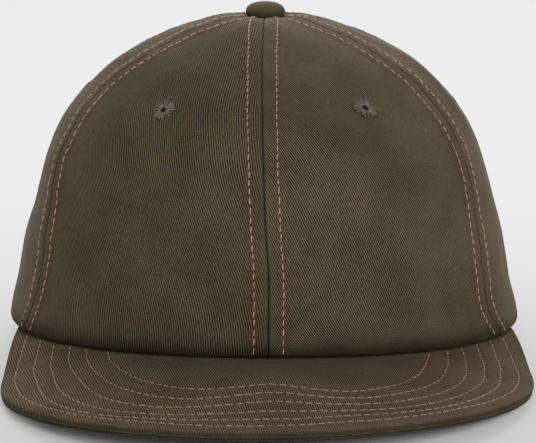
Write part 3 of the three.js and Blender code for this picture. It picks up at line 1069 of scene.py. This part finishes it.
class Finish:
    """A material and the nodes that make it."""

    def __init__(self, name):
        self.material = bpy.data.materials.new(name)
        self.material.use_nodes = True
        self.tree = self.material.node_tree
        self.tree.nodes.clear()

    def node(self, kind, settings=None, inputs=None, out=0):
        made = self.tree.nodes.new("ShaderNode" + kind)
        for key, value in (settings or {}).items():
            setattr(made, key, value)
        for key, value in (inputs or {}).items():
            if isinstance(value, Wire):
                self.tree.links.new(value.socket, made.inputs[key])
            else:
                made.inputs[key].default_value = value
        return Wire(self, made.outputs[out])

    def chart(self, name):
        """The two values of a UV map."""
        place = self.node("UVMap", {"uv_map": name})
        return [self.node("SeparateXYZ", None, {0: place}, axis) for axis in (0, 1)]

    def place(self, x, y, z=0.0):
        return self.node("CombineXYZ", None, {0: x, 1: y, 2: z})

    def noise(self, place, scale, detail=2.0, roughness=0.5):
        inputs = {"Vector": place, "Scale": scale, "Detail": detail, "Roughness": roughness}
        return self.node("TexNoise", None, inputs)

    def blend(self, share, first, second, way="MIX"):
        """A colour between two colours."""
        settings = {"data_type": "RGBA", "blend_type": way}
        return self.node("Mix", settings, {0: share, 6: first, 7: second}, 2)

    def multiply(self, first, second):
        return self.blend(1.0, first, second, "MULTIPLY")

    def between(self, value, low, high, start=0.0, end=1.0):
        """Start below low and end above high, with a soft change between them."""
        inputs = {0: value, 1: low, 2: high, 3: start, 4: end}
        return self.node("MapRange", {"interpolation_type": "SMOOTHSTEP"}, inputs)

    def shader(self, **inputs):
        named = {key.replace("_", " "): value for key, value in inputs.items()}
        made = self.node("BsdfPrincipled", None, named)
        self.tree.links.new(made.socket, self.tree.nodes.new("ShaderNodeOutputMaterial").inputs[0])
        return self.material


def colour(red, green, blue):
    """A linear colour from the 0 to 255 values of a screen colour."""
    shares = [value / 255 for value in (red, green, blue)]
    linear = [s / 12.92 if s <= 0.04045 else ((s + 0.055) / 1.055) ** 2.4 for s in shares]
    return (*linear, 1)


TWILL_SLANT = 22.0  # the ridges' angle to the length of the cloth, in degrees
TWILL_PITCH = 0.75
TWILL_RELIEF = 0.2 * MM
THREAD_RELIEF = 0.1 * MM

# Strength of ridges, streaks and yarn in tone and in relief, and how far drift and yarn bend
# the ridges, in pitches.
RIDGE_TONE, STREAK_TONE, YARN_TONE = 0.85, 0.7, 1.3
RIDGE_LIFT, STREAK_LIFT, YARN_LIFT = 0.7, 0.35, 0.5
DRIFT_BEND, YARN_BEND = 0.45, 0.42

# Soft changes of the cloth's colour: where each begins and ends, and its strength at both.
GRAIN_BY_EDGE = (0.0, 3.0, 0.35, 1.0)
RUST_BY_BLOOM = (0.45, 0.75, 0.0, 0.4)
RUST_BY_STITCHING = (0.4, 4.6, 0.6, 0.0)
SHADE_BY_WASH = (0.3, 0.7, 0.86, 1.14)
# painted shade: the cloth darkens towards the crown's rim and round the hem's roll, where it turns
# under
PAINTED_SHADE_BY_RIM = (0.5, 8.0, 0.4, 1.0)
# painted shade: the cloth darkens in the seams' ditches, along the peak's edge and joint, and
# under the button
PAINTED_SHADE_BY_EDGE = (0.0, 0.4, 0.52, 1.0)
PLAIN, RUSTY = (1, 1, 1, 1), (1.1, 0.92, 0.86, 1)


def twill(name, valley, crest):
    """Cotton twill: slanting ridges of yarn with uneven dye, browner along the stitching, with
    painted shade towards the rim and along seams, edges and joints, and painted light in some
    panels' tones.
    """
    finish = Finish(name)
    across, along = finish.chart("cloth")
    sewn, edge = finish.chart("sewing")
    over, down = turned(across, along, math.radians(TWILL_SLANT))
    flat = finish.place(across, along)
    drift = finish.noise(flat, 0.22, 1.0)
    streak = finish.noise(finish.place(over * 1.9, down * 0.4), 1.0, 3.0, 0.65)
    yarn = finish.noise(finish.place(over * 5.5, down * 2.4), 1.0, 2.0, 0.6)
    turns = over / TWILL_PITCH + drift * DRIFT_BEND + yarn * YARN_BEND
    ridge = (turns * math.tau).sine() * 0.5 + 0.5
    wash = finish.noise(flat, 0.045, 4.0, 0.6)
    bloom = finish.noise(flat, 0.3, 3.0, 0.6)
    # each piece's tone and weave strength, partly dye and partly painted light
    tone, weave = finish.chart("tone")
    grain = (ridge - 0.5) * weave * RIDGE_TONE + (streak - 0.5) * STREAK_TONE
    grain = grain + (yarn - 0.5) * YARN_TONE
    body = finish.blend(grain * finish.between(edge, *GRAIN_BY_EDGE) + 0.5, valley, crest)
    rust = finish.between(bloom, *RUST_BY_BLOOM) + finish.between(sewn, *RUST_BY_STITCHING)
    body = finish.multiply(body, finish.blend(rust, PLAIN, RUSTY))
    # the tone is partly dye and partly painted light, the wash is uneven dye, and the rim and edge
    # factors are painted shade
    dye_and_painted_light = tone * finish.between(wash, *SHADE_BY_WASH)
    dye_and_painted_light = dye_and_painted_light * finish.between(along, *PAINTED_SHADE_BY_RIM)
    dye_and_painted_light = dye_and_painted_light * finish.between(edge, *PAINTED_SHADE_BY_EDGE)
    body = finish.multiply(body, finish.place(dye_and_painted_light, dye_and_painted_light, dye_and_painted_light))
    lift = ridge * RIDGE_LIFT + yarn * YARN_LIFT + streak * STREAK_LIFT
    bump = finish.node("Bump", None, {"Strength": 0.6, "Distance": TWILL_RELIEF, "Height": lift})
    return finish.shader(
        Base_Color=body,
        Roughness=0.92,
        Normal=bump,
        Specular_IOR_Level=0.04,
        Sheen_Weight=0.05,
        Sheen_Roughness=0.4,
        Sheen_Tint=colour(200, 180, 140),
    )


def spun_thread(name, dark, light):
    """Spun thread: fine strands and soft patches, with painted shade towards the ends of each
    stitch, where it sinks into the cloth.
    """
    finish = Finish(name)
    spot = finish.node("TexCoord", None, None, 3)
    strand = finish.noise(spot, 2600.0, 2.0, 0.6)
    patch = finish.noise(spot, 700.0, 2.0)
    run, _ = finish.chart("run")
    # painted shade: the thread darkens towards each stitch's ends, where it dives into the cloth
    end = finish.between(run, 0.6, 1.0)
    tone = finish.blend(strand * 0.75 + patch * 0.8 - 0.3 - end, dark, light)
    relief = {"Strength": 0.4, "Distance": THREAD_RELIEF, "Height": strand}
    bump = finish.node("Bump", None, relief)
    return finish.shader(
        Base_Color=tone, Roughness=0.8, Normal=bump, Sheen_Weight=0.1, Specular_IOR_Level=0.15
    )


# Stage and camera

FLOOR_SIZE = 6
FLOOR_DROP = 0.2 * MM  # below the cap, so that the two never share a plane
CAP = (0, 0, 0.05)

# Each lamp's name, place, size, power and target, in metres and watts.
LAMPS = [
    ("key", (0.9, -2.3, 1.2), 1.0, 76, CAP),
    ("fill", (-1.4, -1.9, 0.6), 1.4, 16, CAP),
    ("left_edge", (-1.3, 1.1, 0.45), 0.8, 7, CAP),
    ("right_edge", (1.3, 1.1, 0.45), 0.8, 4, CAP),
    ("back", (0, 2.3, 1.7), 2.0, 118, CAP),
    ("backdrop", (0, 0.2, 0.7), 0.8, 40, (0, 1.15, 0.39)),
]


def make_stage():
    form = bmesh.new()
    bmesh.ops.create_grid(form, x_segments=4, y_segments=4, size=FLOOR_SIZE)
    bmesh.ops.translate(form, verts=form.verts, vec=(0, 0, -FLOOR_DROP))
    floor = finish_form("pale_floor", form)
    finish = Finish("pale_floor")
    floor.data.materials.append(finish.shader(Base_Color=(0.88, 0.88, 0.88, 1), Roughness=0.9))
    world = bpy.data.worlds.new("studio")
    world.use_nodes = True
    sky = world.node_tree.nodes["Background"]
    sky.inputs["Color"].default_value = (1, 1, 1, 1)
    sky.inputs["Strength"].default_value = 0.57
    bpy.context.scene.world = world
    for row in LAMPS:
        lamp(*row)


def lamp(name, place, size, power, target):
    light = bpy.data.lights.new(name, "AREA")
    light.size = size
    light.energy = power
    softbox = add(name, light)
    softbox.location = place
    softbox.rotation_euler = (Vector(target) - Vector(place)).to_track_quat("-Z", "Y").to_euler()


# The camera in the rim's frame: it looks at a point on the crown's axis.
CAMERA_DISTANCE = 1500
CAMERA_ELEVATION = 7.6
CAMERA_YAW = -1.0
CAMERA_ROLL = -0.3
CAMERA_AIM = np.array([0, 0, 56.0])
AIM_PIXEL = (264.6, 152.7)  # where that point is in the photograph
PIXEL_SIZE = 0.3485  # millimetres there


def make_camera():
    e, yaw, roll = (math.radians(a) for a in (CAMERA_ELEVATION, CAMERA_YAW, CAMERA_ROLL))
    ahead = np.array([-math.sin(yaw) * math.cos(e), math.cos(yaw) * math.cos(e), -math.sin(e)])
    right = np.array([math.cos(yaw), math.sin(yaw), 0])
    right, up = turned(right, np.cross(right, ahead), -roll)
    place = CAMERA_AIM - ahead * CAMERA_DISTANCE
    aim = CAMERA_AIM + right * (PHOTO_WIDTH / 2 - AIM_PIXEL[0]) * PIXEL_SIZE
    aim = aim - up * (PHOTO_HEIGHT / 2 - AIM_PIXEL[1]) * PIXEL_SIZE
    back = unit(place - aim)
    side = unit(np.cross(up, back))
    top = np.cross(back, side)
    data = bpy.data.cameras.new("camera")
    data.sensor_width = 36
    data.lens = CAMERA_DISTANCE / (PIXEL_SIZE * PHOTO_WIDTH) * data.sensor_width
    data.clip_start = 0.05
    data.clip_end = 30
    camera = add("camera", data)
    camera.matrix_world = standing(tipped(place), (side, top, back))
    bpy.context.scene.camera = camera


make_stage()
make_camera()
cap_cloth = twill("twill_cloth", colour(15, 12, 9), colour(80, 73, 57))
under_cloth = twill("twill_under_peak", colour(22, 20, 17), colour(62, 58, 51))
sewing_thread = spun_thread("sewing_thread", colour(50, 38, 30), colour(178, 152, 127))
eyelet_thread = spun_thread("eyelet_thread", colour(18, 15, 12), colour(108, 99, 83))
make_crown(cap_cloth, sewing_thread, eyelet_thread)
make_button(cap_cloth)
make_peak(cap_cloth, under_cloth, sewing_thread)
